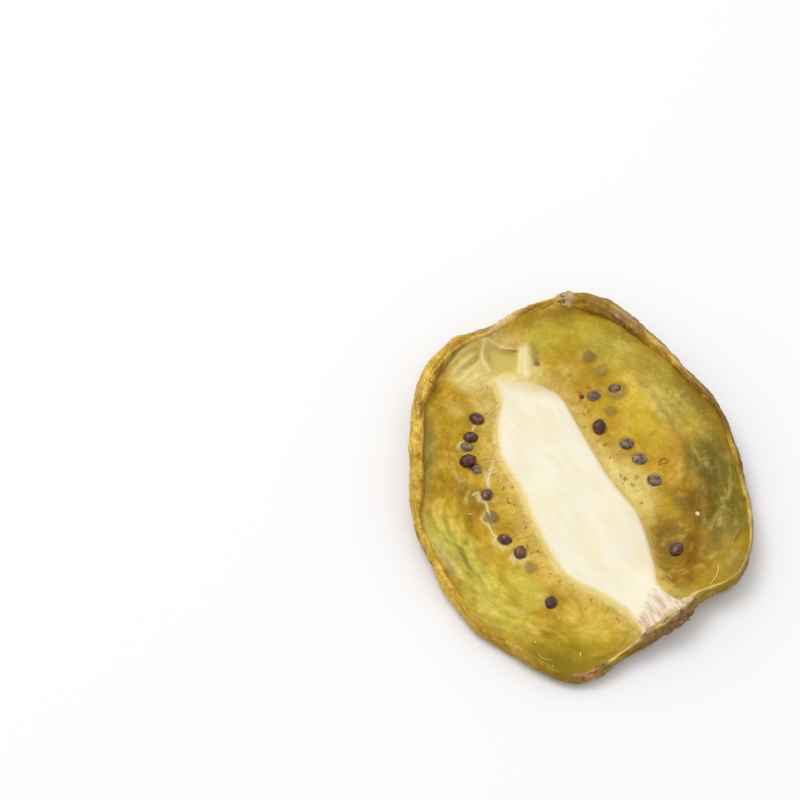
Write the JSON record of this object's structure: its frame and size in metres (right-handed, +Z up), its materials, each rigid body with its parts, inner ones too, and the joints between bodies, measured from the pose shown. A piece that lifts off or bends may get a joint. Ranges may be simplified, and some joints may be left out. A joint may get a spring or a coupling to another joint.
{
  "type": "dried kiwi slice",
  "caption": "Lengthwise slice of dried kiwi fruit: a thin leathery dish with a rolled brown rim, a pale core and a row of seeds on either side.",
  "frame": {"origin": "middle of the footprint, on the surface the slice lies on", "axes": "+Z up out of the cut face, +Y along the core towards the blossom end, +X across the slice"},
  "size_m": [0.0448, 0.0524, 0.0061],
  "materials": {
    "kiwi_flesh": "satin, slightly translucent",
    "kiwi_rind": "wrinkled, satin",
    "kiwi_seed": "glossy",
    "kiwi_fibre": "matte"
  },
  "bodies": {
    "root": {"kiwi_slice": "kiwi_flesh"}
  },
  "joints": []
}
